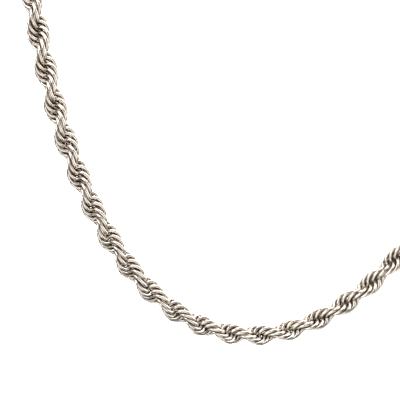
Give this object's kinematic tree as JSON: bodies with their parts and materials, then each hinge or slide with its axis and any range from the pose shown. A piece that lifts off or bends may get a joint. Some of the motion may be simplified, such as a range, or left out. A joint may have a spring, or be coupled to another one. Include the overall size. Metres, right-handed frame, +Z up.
{
  "type": "rope chain necklace",
  "caption": "Rope chain necklace: two strands of small links of round wire wound round each other in a right-hand twist, closed at the nape by a plain barrel clasp, in the form it takes when worn.",
  "frame": {"origin": "where the closed necklace rests on the nape: the middle of the barrel clasp, on its side towards the neck", "axes": "+Z up as worn, the front of the necklace faces -Y, +X along the clasp"},
  "size_m": [0.1188, 0.1141, 0.16],
  "materials": {
    "rope_metal": "polished warm white metal",
    "clasp_metal": "polished warm white metal, finely brushed"
  },
  "bodies": {
    "root": {"rope_chain": "rope_metal", "clasp": "clasp_metal"}
  },
  "joints": []
}
